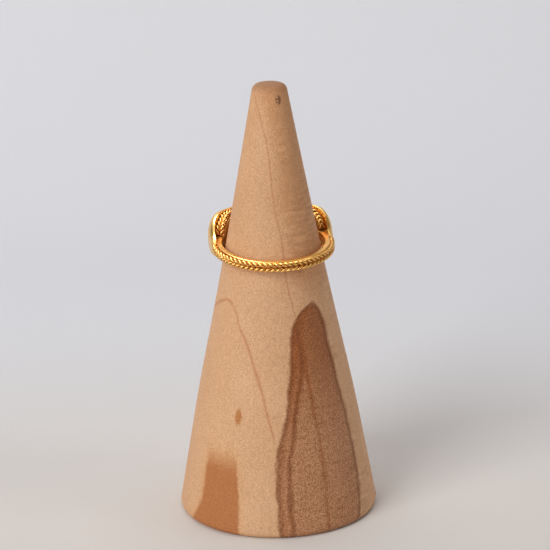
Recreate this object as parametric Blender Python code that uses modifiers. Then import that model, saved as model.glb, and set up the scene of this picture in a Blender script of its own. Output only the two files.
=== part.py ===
"""Gold herringbone ring on a wooden ring cone, in metres, +Z up, the cone's base on the ground."""
import math

import bpy
import bmesh
from mathutils import Matrix, Vector

MM = 0.001

# The wooden cone.
CONE_HEIGHT = 71.3 * MM
CONE_BASE_RADIUS = 16.5 * MM
CONE_TOP_RADIUS = 2.63 * MM
CONE_TOP_ROUNDING = 0.9 * MM
CONE_BASE_ROUNDING = 1.0 * MM
CONE_SIDES = 64
# The turned side: share of the height, and share of the way in from the base radius to the top radius.
CONE_SIDE = (
    # height, narrowing
    (0.00, 0.000),
    (0.12, 0.112),
    (0.28, 0.264),
    (0.45, 0.449),
    (0.62, 0.629),
    (0.80, 0.807),
    (1.00, 1.000),
)

# The inner band and the shank.
FINGER_RADIUS = 8.30 * MM
BAND_THICKNESS = 0.85 * MM
BAND_WIDTH = 1.50 * MM
BAND_ROUNDING = 0.15 * MM
SHANK_WIRE = 0.74 * MM
SHANK_LAY = 1.75 * MM
WIRE_GAP = 0.05 * MM

# The head: half angles are seen from the finger's axis, from the middle of the head.
HEAD_END_ANGLE = 88.0
HEAD_RIM_HEIGHT = 3.80 * MM
HEAD_DOME_HEIGHT = 3.95 * MM
HEAD_RISE = 3.55 * MM
HEAD_BELLY = 0.10
BELLY_OVERHANG = 0.60 * MM
HEAD_ROUNDNESS = 2.2
TONGUE_WIDTH = 1.50 * MM
GALLERY_WIRE = 0.62 * MM
GALLERY_LAY = 1.44 * MM
RIM_GROOVE = 0.10 * MM
# Sections of the head from its middle to its end, as shares of the end angle, of the rim's half height, of
# the dome's half height and of the dome's rise over the finger.
HEAD_SECTIONS = (
    # angle, rim, dome, rise
    (0.000, 1.000, 0.962, 0.950),
    (0.250, 1.000, 0.962, 0.955),
    (0.420, 1.000, 0.970, 0.975),
    (0.510, 1.000, 0.985, 0.995),
    (0.560, 0.990, 0.995, 1.000),
    (0.608, 0.945, 0.990, 0.985),
    (0.647, 0.870, 0.958, 0.958),
    (0.686, 0.785, 0.900, 0.915),
    (0.718, 0.690, 0.835, 0.868),
    (0.751, 0.553, 0.752, 0.802),
    (0.773, 0.408, 0.690, 0.760),
    (0.797, 0.126, 0.608, 0.714),
    (0.860, 0.040, 0.395, 0.600),
    (0.930, 0.030, 0.250, 0.520),
    (1.000, 0.020, 0.180, 0.450),
)

# How the ring sits on the cone.
RING_CLEARANCE = 0.27 * MM
RING_SHIFT_X = 0.10 * MM
RING_TILT_ANGLE = math.radians(6.0)
RING_TURN_ANGLE = math.radians(7.0)
RING_LEAN_ANGLE = math.radians(0.5)

# Twisted wires: a section of two lobes, turning along its path.
TWIST_WAIST = 0.55
SHANK_FACETS = 8
GALLERY_FACETS = 6


def clear_scene():
    for block in list(bpy.data.objects):
        bpy.data.objects.remove(block, do_unlink=True)
    for block in list(bpy.data.collections):
        bpy.data.collections.remove(block)


def material(name, colour, metallic, roughness):
    made = bpy.data.materials.new(name)
    made.use_nodes = True
    shader = made.node_tree.nodes["Principled BSDF"]
    shader.inputs["Base Color"].default_value = (*colour, 1.0)
    shader.inputs["Metallic"].default_value = metallic
    shader.inputs["Roughness"].default_value = roughness
    made.diffuse_color = (*colour, 1.0)
    return made


def smooth_table(table, at):
    """Value of a two-column table at any place, along a curve that never overshoots its rows."""
    xs = [row[0] for row in table]
    ys = [row[1] for row in table]
    steps = [xs[k + 1] - xs[k] for k in range(len(xs) - 1)]
    slopes = [(ys[k + 1] - ys[k]) / steps[k] for k in range(len(steps))]
    tangents = [slopes[0]]
    for k in range(1, len(slopes)):
        before, after = slopes[k - 1], slopes[k]
        if before * after <= 0.0:
            tangents.append(0.0)
        else:
            wide, narrow = 2 * steps[k] + steps[k - 1], steps[k] + 2 * steps[k - 1]
            tangents.append((wide + narrow) / (wide / before + narrow / after))
    tangents.append(slopes[-1])
    at = min(max(at, xs[0]), xs[-1])
    k = 0
    while k < len(steps) - 1 and at > xs[k + 1]:
        k += 1
    t = (at - xs[k]) / steps[k]
    return ((2 * t ** 3 - 3 * t ** 2 + 1) * ys[k] + (t ** 3 - 2 * t ** 2 + t) * steps[k] * tangents[k]
            + (3 * t ** 2 - 2 * t ** 3) * ys[k + 1] + (t ** 3 - t ** 2) * steps[k] * tangents[k + 1])


def new_object(name, vertices, faces, paint, home):
    mesh = bpy.data.meshes.new(name)
    mesh.from_pydata([tuple(v) for v in vertices], [], faces)
    made = bpy.data.objects.new(name, mesh)
    made.data.materials.append(paint)
    home.objects.link(made)
    return made


# The cone.

def cone_radius(height):
    narrowing = smooth_table(CONE_SIDE, height / CONE_HEIGHT)
    return CONE_BASE_RADIUS + (CONE_TOP_RADIUS - CONE_BASE_RADIUS) * narrowing


def cone_profile():
    """From the middle of the top, down the side, to the middle of the base."""
    points = [(0.0, CONE_HEIGHT)]
    rounding = CONE_TOP_ROUNDING
    reach = cone_radius(CONE_HEIGHT - rounding)
    for k in range(5):
        turn = math.radians(90 - 22.5 * k)
        height = CONE_HEIGHT - rounding + rounding * math.sin(turn)
        points.append((reach - rounding + rounding * math.cos(turn), height))
    low, high = CONE_BASE_ROUNDING, CONE_HEIGHT - rounding
    rows = 14
    for k in range(1, rows):
        height = high + (low - high) * k / rows
        points.append((cone_radius(height), height))
    reach = cone_radius(low)
    for k in range(4):
        turn = math.radians(30 * k)
        points.append((reach - low + low * math.cos(turn), low - low * math.sin(turn)))
    points.append((0.0, 0.0))
    return points


def build_cone(paint, home):
    profile = cone_profile()
    mesh = bpy.data.meshes.new("ring_cone")
    mesh.from_pydata([(r, 0.0, z) for r, z in profile], [(k, k + 1) for k in range(len(profile) - 1)], [])
    cone = bpy.data.objects.new("ring_cone", mesh)
    cone.data.materials.append(paint)
    home.objects.link(cone)
    turn = cone.modifiers.new("turned", "SCREW")
    turn.steps = CONE_SIDES
    turn.render_steps = CONE_SIDES
    turn.use_merge_vertices = True
    turn.merge_threshold = 0.00001
    turn.use_normal_calculate = True
    return cone


# Places on the ring, in its own frame: the finger's axis is Z and the middle of the head lies at +Y.

def ring_seat():
    """Height and sideways place at which the tilted ring clears the cone equally at shank and head."""
    sine, cosine = math.sin(RING_TILT_ANGLE), math.cos(RING_TILT_ANGLE)
    low, high = 0.0, CONE_HEIGHT
    for _ in range(60):
        seat = (low + high) / 2
        at_shank = cone_radius(seat - FINGER_RADIUS * sine - BAND_EDGE * cosine)
        at_head = cone_radius(seat + FINGER_RADIUS * sine - HEAD_RIM_HEIGHT * cosine)
        room_shank = FINGER_RADIUS * cosine - BAND_EDGE * sine - at_shank
        room_head = FINGER_RADIUS * cosine + HEAD_RIM_HEIGHT * sine - at_head
        if room_shank + room_head > 2 * RING_CLEARANCE:
            high = seat
        else:
            low = seat
    return seat, (room_shank - room_head) / 2


def ring_to_world():
    height, aside = ring_seat()
    shift = Matrix.Translation((RING_SHIFT_X, aside, height))
    tip = Matrix.Rotation(RING_LEAN_ANGLE, 4, "Y") @ Matrix.Rotation(RING_TILT_ANGLE, 4, "X")
    return shift @ tip @ Matrix.Rotation(RING_TURN_ANGLE, 4, "Z")


def on_ring(radius, angle, height):
    """angle in radians from the middle of the head, positive towards +X."""
    return Vector((radius * math.sin(angle), radius * math.cos(angle), height))


BAND_RADIUS = FINGER_RADIUS + BAND_THICKNESS
BAND_EDGE = BAND_WIDTH / 2
SHANK_WIRE_RADIUS = BAND_RADIUS + WIRE_GAP + SHANK_WIRE / 2
SHANK_WIRE_HEIGHT = (SHANK_WIRE + WIRE_GAP) / 2
SHANK_START = math.radians(HEAD_END_ANGLE) + WIRE_GAP * 2 / SHANK_WIRE_RADIUS
INNER_WIRE_RADIUS = FINGER_RADIUS + WIRE_GAP / 2 + GALLERY_WIRE / 2
OUTER_WIRE_RADIUS = INNER_WIRE_RADIUS + GALLERY_WIRE + WIRE_GAP
RIM_RADIUS = OUTER_WIRE_RADIUS + GALLERY_WIRE / 2 + WIRE_GAP
BORDER_RADIUS = (INNER_WIRE_RADIUS + OUTER_WIRE_RADIUS) / 2


def head_column(angle, column):
    """One column of the head's table at an angle from the middle of the head."""
    share = abs(angle) / math.radians(HEAD_END_ANGLE)
    return smooth_table([(row[0], row[column]) for row in HEAD_SECTIONS], share)


def border_curve():
    """The rim laid flat: length along the ring and height, from the middle of the head to its end."""
    points = []
    for k in range(177):
        angle = math.radians(HEAD_END_ANGLE) * k / 176
        points.append((angle * BORDER_RADIUS, HEAD_RIM_HEIGHT * head_column(angle, 1)))
    return points


def inset_curve(points, inset):
    """The same curve moved square to itself towards the middle of the head."""
    moved = []
    for k, (along, height) in enumerate(points):
        before, after = points[max(k - 1, 0)], points[min(k + 1, len(points) - 1)]
        run, rise = after[0] - before[0], after[1] - before[1]
        size = math.hypot(run, rise)
        moved.append((along + inset * rise / size, height - inset * run / size))
    return moved


def height_at(points, along):
    """Height of a flat curve at a length along the ring, or zero past its end."""
    if along <= points[0][0]:
        return points[0][1]
    for (a, b), (c, d) in zip(points, points[1:]):
        if a <= along <= c and c > a:
            return b + (d - b) * (along - a) / (c - a)
    return 0.0


# The band and the head, one solid: sections all round the ring.

BELLY_STEPS = 3
FACE_STEPS = 4


def half_section(angle):
    """Radius and height, from the middle of the finger side up and over to the middle of the outer face."""
    c = BAND_ROUNDING
    if abs(math.degrees(angle)) > HEAD_END_ANGLE:
        points = [(FINGER_RADIUS, 0.0), (FINGER_RADIUS, BAND_EDGE - c), (FINGER_RADIUS + c, BAND_EDGE)]
        side = 2 + BELLY_STEPS
        for k in range(side):
            points.append((FINGER_RADIUS + c + (BAND_THICKNESS - 2 * c) * (k + 1) / side, BAND_EDGE))
        for k in range(FACE_STEPS + 1):
            points.append((BAND_RADIUS, (BAND_EDGE - c) * (1 - k / FACE_STEPS)))
        return points
    along = abs(angle) * BORDER_RADIUS
    border = border_curve()
    rim_line = height_at(border, along)
    rim = max(rim_line, TONGUE_WIDTH / 2)
    wall = max(height_at(inset_curve(border, GALLERY_WIRE + 2 * WIRE_GAP), along), BAND_EDGE)
    dome = max(HEAD_DOME_HEIGHT * head_column(angle, 2), rim)
    face = FINGER_RADIUS + HEAD_RISE * head_column(angle, 3)
    # The seat's depth eases from the rim over the wires to the band's own edge along the tongue.
    ease = min(max((rim_line - BAND_EDGE) / GALLERY_WIRE, 0.0), 1.0)
    seat = BAND_RADIUS + (RIM_RADIUS - BAND_RADIUS) * ease
    g = RIM_GROOVE
    lip = seat + g
    # The side bulges only where the dome stands over the rim, towards the ends.
    belly = lip + (face - lip) * HEAD_BELLY * min((dome - rim) / BELLY_OVERHANG, 1.0)
    points = [(FINGER_RADIUS, 0.0), (FINGER_RADIUS, wall - c), (FINGER_RADIUS + c, wall)]
    points += [(seat - g, wall), (seat, wall - g * (1 - ease)), (lip, rim)]
    for k in range(1, BELLY_STEPS + 1):
        t = math.pi / 2 * k / BELLY_STEPS
        points.append((belly - (belly - lip) * math.cos(t), rim + (dome - rim) * math.sin(t)))
    for k in range(1, FACE_STEPS + 1):
        t = math.pi / 2 * k / FACE_STEPS
        height = dome * max(math.cos(t), 0.0) ** (2 / HEAD_ROUNDNESS) if k < FACE_STEPS else 0.0
        points.append((belly + (face - belly) * math.sin(t) ** (2 / HEAD_ROUNDNESS), height))
    return points


def body_angles():
    """Half a turn of stations: closest where the head narrows, widest on the shank."""
    head = [0.0, 10.0, 20.0, 30.0, 38.0, 44.0, 49.0, 53.0, 56.5, 59.5, 62.0, 64.0, 66.0, 67.5, 69.0, 70.5]
    head += [72.5, 75.5, 79.0, 83.5, HEAD_END_ANGLE]
    shank_from = HEAD_END_ANGLE + 0.4
    shank = [shank_from + (180.0 - shank_from) * k / 16 for k in range(17)]
    half = [math.radians(d) for d in head + shank]
    return [-a for a in reversed(half[1:-1])] + half


def build_body(paint, home):
    place = ring_to_world()
    vertices, rings = [], []
    for angle in body_angles():
        half = half_section(angle)
        full = half + [(r, -z) for r, z in reversed(half[1:-1])]
        rings.append([len(vertices) + k for k in range(len(full))])
        vertices += [place @ on_ring(r, angle, z) for r, z in full]
    faces = []
    count = len(rings[0])
    for here, there in zip(rings, rings[1:] + rings[:1]):
        for k in range(count):
            after = (k + 1) % count
            faces.append((here[k], here[after], there[after], there[k]))
    body = new_object("ring_body", vertices, faces, paint, home)
    tidy(body)
    return body


def tidy(made):
    work = bmesh.new()
    work.from_mesh(made.data)
    bmesh.ops.recalc_face_normals(work, faces=work.faces)
    work.to_mesh(made.data)
    work.free()


# Twisted wires.

def twisted_wire(name, path, wire, lay, hand, facets, paint, home):
    """A two-lobe section turned along a path of points with the ring's radial direction beside each."""
    lengths = [0.0]
    for (here, _), (there, _) in zip(path, path[1:]):
        lengths.append(lengths[-1] + (there - here).length)
    steps = round(lengths[-1] / (lay / facets))
    vertices, rings = [], []
    k = 0
    for step in range(steps + 1):
        target = lengths[-1] * step / steps
        while k < len(path) - 2 and lengths[k + 1] < target:
            k += 1
        share = min(max((target - lengths[k]) / (lengths[k + 1] - lengths[k]), 0.0), 1.0)
        centre = path[k][0].lerp(path[k + 1][0], share)
        ahead = path[min(k + 2, len(path) - 1)][0] - path[max(k - 1, 0)][0]
        ahead.normalize()
        outward = path[k][1].lerp(path[k + 1][1], share)
        outward = (outward - ahead * outward.dot(ahead)).normalized()
        across = ahead.cross(outward)
        ring = []
        for j in range(facets):
            around = 2 * math.pi * j / facets
            lobe = max(abs(math.cos(around - hand * 2 * math.pi * step / facets)), TWIST_WAIST)
            ring.append(len(vertices))
            reach = wire / 2 * lobe
            vertices.append(centre + outward * reach * math.cos(around) + across * reach * math.sin(around))
        rings.append(ring)
    faces = [tuple(reversed(rings[0])), tuple(rings[-1])]
    for here, there in zip(rings, rings[1:]):
        for j in range(facets):
            after = (j + 1) % facets
            if hand > 0:
                faces.append((here[j], here[after], there[after]))
                faces.append((here[j], there[after], there[j]))
            else:
                faces.append((here[j], here[after], there[j]))
                faces.append((here[after], there[after], there[j]))
    place = ring_to_world()
    made = new_object(name, [place @ v for v in vertices], faces, paint, home)
    tidy(made)
    return made


def shank_path(height):
    """From the tongue at +X round the front of the shank to the tongue at -X."""
    path = []
    span = 2 * math.pi - 2 * SHANK_START
    for k in range(201):
        angle = SHANK_START + span * k / 200
        path.append((on_ring(SHANK_WIRE_RADIUS, angle, height), on_ring(1.0, angle, 0.0)))
    return path


def gallery_path(radius, side):
    """Along the head's border under the rim, from the -X end of the band over the top to its +X end."""
    flat = inset_curve(border_curve(), GALLERY_WIRE / 2 + WIRE_GAP / 2)
    lowest = BAND_EDGE + GALLERY_WIRE / 2 + WIRE_GAP
    half = [(along / BORDER_RADIUS, height) for along, height in flat if height >= lowest]
    both = [(-a, h) for a, h in reversed(half[1:])] + half
    return [(on_ring(radius, a, side * h), on_ring(1.0, a, 0.0)) for a, h in both]


def build():
    clear_scene()
    home = bpy.data.collections.new("ring_on_cone")
    bpy.context.scene.collection.children.link(home)
    gold = material("yellow_gold", (0.83, 0.56, 0.22), 1.0, 0.25)
    rope = material("twisted_gold", (0.80, 0.52, 0.20), 1.0, 0.32)
    wood = material("pale_wood", (0.62, 0.40, 0.25), 0.0, 0.55)
    build_cone(wood, home)
    build_body(gold, home)
    for name, side, hand in (("shank_twist_upper", 1, 1), ("shank_twist_lower", -1, -1)):
        path = shank_path(side * SHANK_WIRE_HEIGHT)
        twisted_wire(name, path, SHANK_WIRE, SHANK_LAY, hand, SHANK_FACETS, rope, home)
    wires = (
        # name, radius, side, hand
        ("gallery_upper_inner", INNER_WIRE_RADIUS, 1, 1),
        ("gallery_upper_outer", OUTER_WIRE_RADIUS, 1, -1),
        ("gallery_lower_inner", INNER_WIRE_RADIUS, -1, -1),
        ("gallery_lower_outer", OUTER_WIRE_RADIUS, -1, 1),
    )
    for name, radius, side, hand in wires:
        path = gallery_path(radius, side)
        twisted_wire(name, path, GALLERY_WIRE, GALLERY_LAY, hand, GALLERY_FACETS, rope, home)


build()
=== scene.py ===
# %% [markdown]
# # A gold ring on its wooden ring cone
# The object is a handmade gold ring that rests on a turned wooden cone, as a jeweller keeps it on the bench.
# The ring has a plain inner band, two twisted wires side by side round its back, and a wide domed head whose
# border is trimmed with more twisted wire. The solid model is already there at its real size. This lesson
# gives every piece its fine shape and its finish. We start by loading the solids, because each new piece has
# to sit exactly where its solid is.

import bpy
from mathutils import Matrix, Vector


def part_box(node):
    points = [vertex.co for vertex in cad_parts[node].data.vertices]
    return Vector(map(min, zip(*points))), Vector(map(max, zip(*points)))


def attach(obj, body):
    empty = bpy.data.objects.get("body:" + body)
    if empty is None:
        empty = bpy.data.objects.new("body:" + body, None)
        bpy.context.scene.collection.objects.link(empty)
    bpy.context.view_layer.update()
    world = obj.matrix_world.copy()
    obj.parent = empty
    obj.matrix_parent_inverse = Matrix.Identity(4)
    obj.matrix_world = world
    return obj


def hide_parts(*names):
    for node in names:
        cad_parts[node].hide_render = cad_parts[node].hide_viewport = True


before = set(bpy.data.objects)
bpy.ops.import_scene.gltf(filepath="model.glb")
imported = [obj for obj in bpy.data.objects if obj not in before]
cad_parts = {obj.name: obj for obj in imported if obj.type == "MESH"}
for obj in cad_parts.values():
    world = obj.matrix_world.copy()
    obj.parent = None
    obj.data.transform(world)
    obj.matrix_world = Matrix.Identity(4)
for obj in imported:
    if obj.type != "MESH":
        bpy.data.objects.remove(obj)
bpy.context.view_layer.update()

import math

import bmesh
import bpy
from mathutils import Matrix, Vector

print("solids:", ", ".join(sorted(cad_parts)))

# %% [markdown]
# ## Small helpers
# Everything on this object is measured in millimetres while Blender works in metres, so one factor turns one
# into the other. An operator acts on all that is selected, so before each primitive we leave edit mode and
# select nothing. In edit mode we then pick edges in code, by where they lie, as we would by hand with a box.

# %% Millimetres, a clean start, and picking by place
MM = 0.001


def start_clean():
    if bpy.context.object and bpy.context.object.mode != "OBJECT":
        bpy.ops.object.mode_set(mode="OBJECT")
    bpy.ops.object.select_all(action="DESELECT")


def make_active(piece):
    start_clean()
    piece.select_set(True)
    bpy.context.view_layer.objects.active = piece


def pick_edges(piece, wanted):
    """Select the edges whose two ends both lie where wanted says."""
    bpy.ops.mesh.select_mode(type="EDGE")
    bpy.ops.mesh.select_all(action="DESELECT")
    work = bmesh.from_edit_mesh(piece.data)
    picked = [edge for edge in work.edges if all(wanted(corner.co) for corner in edge.verts)]
    for edge in picked:
        edge.select_set(True)
    bmesh.update_edit_mesh(piece.data)
    return len(picked)


def face_outwards():
    """In edit mode: turn every face of the piece outwards."""
    bpy.ops.mesh.select_all(action="SELECT")
    bpy.ops.mesh.normals_make_consistent(inside=False)


def report(piece):
    piece.data.calc_loop_triangles()
    print(piece.name, "has", len(piece.data.loop_triangles), "triangles")


# %% [markdown]
# ## Wiring
# A material is a small machine of nodes. To keep its wiring readable we use a few helpers: one adds a node
# and fills its sockets, one calculates, one eases a value between two limits, one mixes two colours, one is
# a noise, and one stretches the space that a noise is drawn in. The last turns a colour as a screen shows
# it into the values that shaders work with.

# %% Helpers for wiring


def plug(tree, socket, value):
    """Link a socket's value, or set a plain number or colour."""
    if isinstance(value, bpy.types.NodeSocket):
        tree.links.new(value, socket)
    else:
        socket.default_value = value


def add(tree, kind, **sockets):
    """A new node with its sockets linked or filled; an underscore stands for a space in a socket's name."""
    made = tree.nodes.new(kind)
    for name, value in sockets.items():
        plug(tree, made.inputs[name.replace("_", " ")], value)
    return made


def calc(tree, operation, *values):
    """One step of arithmetic."""
    made = tree.nodes.new("ShaderNodeMath")
    made.operation = operation
    for socket, value in zip(made.inputs, values):
        plug(tree, socket, value)
    return made.outputs[0]


def ease(tree, value, low, high):
    """0 below low, 1 above high, and a soft step between; low may lie above high."""
    made = add(tree, "ShaderNodeMapRange", Value=value, From_Min=low, From_Max=high)
    made.interpolation_type = "SMOOTHSTEP"
    return made.outputs[0]


def blend(tree, share, first, second):
    """The first colour at share 0, the second at share 1."""
    made = tree.nodes.new("ShaderNodeMix")
    made.data_type = "RGBA"
    plug(tree, made.inputs[0], share)
    plug(tree, made.inputs[6], first)
    plug(tree, made.inputs[7], second)
    return made.outputs[2]


def noise(tree, place, scale, detail=3.0, roughness=0.5):
    made = add(tree, "ShaderNodeTexNoise", Vector=place, Scale=scale, Detail=detail, Roughness=roughness)
    return made.outputs["Fac"]


def stretched(tree, place, factors):
    made = tree.nodes.new("ShaderNodeVectorMath")
    made.operation = "MULTIPLY"
    plug(tree, made.inputs[0], place)
    made.inputs[1].default_value = factors
    return made.outputs[0]


def colour(red, green, blue):
    """A colour as a screen shows it, 0 to 255, as the linear values that shaders use."""
    linear = []
    for part in (red, green, blue):
        share = part / 255
        linear.append(share / 12.92 if share <= 0.04045 else ((share + 0.055) / 1.055) ** 2.4)
    return (*linear, 1.0)


# %% [markdown]
# ## The camera
# The photograph was taken from the front, a little above the ring, with a long lens, so the cone's sides
# hardly converge. The frame is square and leans by about a degree. We build the camera's three directions
# ourselves: backwards from the aim to the camera, to the right, and up, and turn the last two by that lean.

# %% Camera
CAMERA_PLACE = Vector((0.0, -0.330, 0.1404563))
CAMERA_AIM = Vector((0.0, 0.0, 0.0394969))
CAMERA_LEAN = -0.0226
CAMERA_LENS = 138.895
CAMERA_SHIFT = 0.0025455
CAMERA_FILM = 36.0
CAMERA_NEAR = 0.01

camera_data = bpy.data.cameras.new("long_lens")
camera = bpy.data.objects.new("long_lens", camera_data)
bpy.context.scene.collection.objects.link(camera)
backwards = (CAMERA_PLACE - CAMERA_AIM).normalized()
right = Vector((1.0, 0.0, 0.0))
up = backwards.cross(right)
leaned_right = right * math.cos(CAMERA_LEAN) + up * math.sin(CAMERA_LEAN)
leaned_up = up * math.cos(CAMERA_LEAN) - right * math.sin(CAMERA_LEAN)
turned = Matrix((leaned_right, leaned_up, backwards)).transposed().to_4x4()
camera.matrix_world = Matrix.Translation(CAMERA_PLACE) @ turned
camera_data.sensor_width = CAMERA_FILM
camera_data.lens = CAMERA_LENS
camera_data.shift_x = CAMERA_SHIFT
camera_data.clip_start = CAMERA_NEAR
bpy.context.scene.camera = camera
print("camera at", [round(value, 4) for value in camera.location], "lens", camera_data.lens)

# %% [markdown]
# ## A pale studio
# A small object looks best on one sheet of pale paper that runs along the table and curves up behind it, so
# no line crosses the picture. By hand you add a plane, extrude its back edge upwards and round the fold with
# a bevel of many segments. Its colour drifts from a warm tone in front to a cooler one behind, over a stretch
# of the table behind the cone.

# %% Paper sweep
FLOOR_HALF = 0.60
SWEEP_FOLD = 0.30
SWEEP_HEIGHT = 0.90
SWEEP_ROUND = 0.16
SWEEP_SEGMENTS = 24
NEAR_FOLD = 0.001

start_clean()
bpy.ops.mesh.primitive_plane_add(size=2 * FLOOR_HALF, location=(0.0, SWEEP_FOLD - FLOOR_HALF, 0.0))
sweep = bpy.context.object
sweep.name = "paper_sweep"
bpy.ops.object.transform_apply(location=True, rotation=True, scale=True)
bpy.ops.object.mode_set(mode="EDIT")
pick_edges(sweep, lambda place: place.y > SWEEP_FOLD - NEAR_FOLD)
bpy.ops.mesh.extrude_region_move(TRANSFORM_OT_translate={"value": (0.0, 0.0, SWEEP_HEIGHT)})
pick_edges(sweep, lambda place: place.y > SWEEP_FOLD - NEAR_FOLD and abs(place.z) < NEAR_FOLD)
bpy.ops.mesh.bevel(offset=SWEEP_ROUND, segments=SWEEP_SEGMENTS, affect="EDGES")
bpy.ops.object.mode_set(mode="OBJECT")
bpy.ops.object.shade_smooth()
print("paper sweep folds", SWEEP_FOLD, "m behind the cone")

# %% Two tones of paper
FLOOR_TONE = colour(220, 214, 208)
WALL_TONE = colour(226, 226, 230)
TONE_START = -0.02
TONE_END = 0.12
PAPER_ROUGHNESS = 0.85

paper = bpy.data.materials.new("pale_paper")
paper.use_nodes = True
paper_tree = paper.node_tree
paper_place = add(paper_tree, "ShaderNodeTexCoord").outputs["Object"]
paper_back = add(paper_tree, "ShaderNodeSeparateXYZ", Vector=paper_place).outputs["Y"]
paper_tone = blend(paper_tree, ease(paper_tree, paper_back, TONE_START, TONE_END), FLOOR_TONE, WALL_TONE)
paper_shader = paper_tree.nodes["Principled BSDF"]
plug(paper_tree, paper_shader.inputs["Base Color"], paper_tone)
paper_shader.inputs["Roughness"].default_value = PAPER_ROUGHNESS
sweep.data.materials.append(paper)
print("the paper changes tone from", TONE_START, "to", TONE_END, "m")

# %% [markdown]
# ## Soft light
# The photograph is lit by a large window on the left and a little in front, so the left of the cone is pale
# and its right turns brown, with no hard shadow. A big area lamp stands for the window. Polished gold is
# mostly a picture of what is around it, so two more lamps give it something to mirror: a weak one on the
# right, and a strip overhead. The world fills in the rest with a dim grey that is brighter above.

# %% Lamps and world
LAMP_AIM = Vector((0.0, 0.0, 0.035))
LAMPS = (
    # name, place, size, watts, tint
    ("window_left", (-0.50, -0.57, 0.46), (0.50, 0.60), 5.75, (1.0, 1.0, 0.99)),
    ("fill_right", (0.70, -0.25, 0.30), (0.30, 0.50), 1.0, (1.0, 0.97, 0.93)),
    ("strip_overhead", (0.0, 0.10, 0.80), (0.70, 0.50), 1.9, (1.0, 1.0, 1.0)),
)
SKY_LOW = -0.4
SKY_HIGH = 0.9
SKY_BELOW = (0.34, 0.33, 0.32, 1.0)
SKY_ABOVE = (0.95, 0.96, 1.0, 1.0)
SKY_STRENGTH = 0.12


def add_lamp(name, place, size, power, tint):
    bpy.ops.object.light_add(type="AREA", location=place)
    lamp = bpy.context.object
    lamp.name = name
    lamp.data.shape = "RECTANGLE"
    lamp.data.size, lamp.data.size_y = size
    lamp.data.energy = power
    lamp.data.color = tint
    aim = LAMP_AIM - Vector(place)
    lamp.rotation_euler = aim.to_track_quat("-Z", "Y").to_euler()
    print(name, "at", place, "gives", power, "W")
    return lamp


start_clean()
for lamp_row in LAMPS:
    add_lamp(*lamp_row)

world = bpy.data.worlds.new("soft_room")
bpy.context.scene.world = world
world.use_nodes = True
sky = world.node_tree
sky_shader = sky.nodes["Background"]
sky_place = add(sky, "ShaderNodeTexCoord").outputs["Generated"]
sky_up = add(sky, "ShaderNodeSeparateXYZ", Vector=sky_place).outputs["Z"]
sky_share = add(sky, "ShaderNodeMapRange", Value=sky_up, From_Min=SKY_LOW, From_Max=SKY_HIGH).outputs[0]
plug(sky, sky_shader.inputs["Color"], blend(sky, sky_share, SKY_BELOW, SKY_ABOVE))
sky_shader.inputs["Strength"].default_value = SKY_STRENGTH
bpy.context.scene.view_settings.view_transform = "Standard"

# %% [markdown]
# ## Curves through a few rows
# The maker's outline is known at a few sections, and everything between them has to be smooth, because
# polished metal shows each kink. A curve of cubic pieces through the rows would overshoot between them, so
# its slopes are limited, which keeps it between its rows. The solids use the same curve.

# %% A smooth table


def smooth_table(table, at):
    """The second column at a value of the first, on the curve through all rows."""
    xs = [row[0] for row in table]
    ys = [row[1] for row in table]
    steps = [xs[k + 1] - xs[k] for k in range(len(xs) - 1)]
    slopes = [(ys[k + 1] - ys[k]) / steps[k] for k in range(len(steps))]
    tangents = [slopes[0]]
    for k in range(1, len(slopes)):
        before, after = slopes[k - 1], slopes[k]
        if before * after <= 0.0:
            tangents.append(0.0)
        else:
            wide, narrow = 2 * steps[k] + steps[k - 1], steps[k] + 2 * steps[k - 1]
            tangents.append((wide + narrow) / (wide / before + narrow / after))
    tangents.append(slopes[-1])
    at = min(max(at, xs[0]), xs[-1])
    k = 0
    while k < len(steps) - 1 and at > xs[k + 1]:
        k += 1
    t = (at - xs[k]) / steps[k]
    return ((2 * t ** 3 - 3 * t ** 2 + 1) * ys[k] + (t ** 3 - 2 * t ** 2 + t) * steps[k] * tangents[k]
            + (3 * t ** 2 - 2 * t ** 3) * ys[k + 1] + (t ** 3 - t ** 2) * steps[k] * tangents[k + 1])


# %% [markdown]
# ## The wooden cone
# The cone is turned on a lathe from one piece of pale wood. Its side is very slightly rounded, its tip is
# blunt with a soft edge, and its foot has a small round. It could be a profile with a Screw modifier, but by
# hand the quickest way is to extrude: we start with a filled circle on the table, then extrude and scale it
# step by step up the side, and at last bevel the two rims. The cone's height comes from the solid's box.

# %% Turn the cone
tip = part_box("ring_cone")[1]
CONE_HEIGHT = tip.z
CONE_BASE_RADIUS = 16.5 * MM
CONE_TOP_RADIUS = 2.63 * MM
CONE_TOP_ROUNDING = 1.35 * MM
CONE_BASE_ROUNDING = 1.0 * MM
CONE_SIDE = (
    # height, narrowing
    (0.00, 0.000),
    (0.12, 0.112),
    (0.28, 0.264),
    (0.45, 0.449),
    (0.62, 0.629),
    (0.80, 0.807),
    (1.00, 1.000),
)
CONE_ROWS = 36
CONE_FLUTES = 160
TIP_SEGMENTS = 6
FOOT_SEGMENTS = 5
# A bevel as wide as the height left below it would meet the next row of vertices.
BEVEL_SHARE = 0.98
TOUCHING = 0.01 * MM
CONE_SHADING = math.radians(40)


def cone_radius(height):
    narrowing = smooth_table(CONE_SIDE, height / CONE_HEIGHT)
    return CONE_BASE_RADIUS + (CONE_TOP_RADIUS - CONE_BASE_RADIUS) * narrowing


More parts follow.
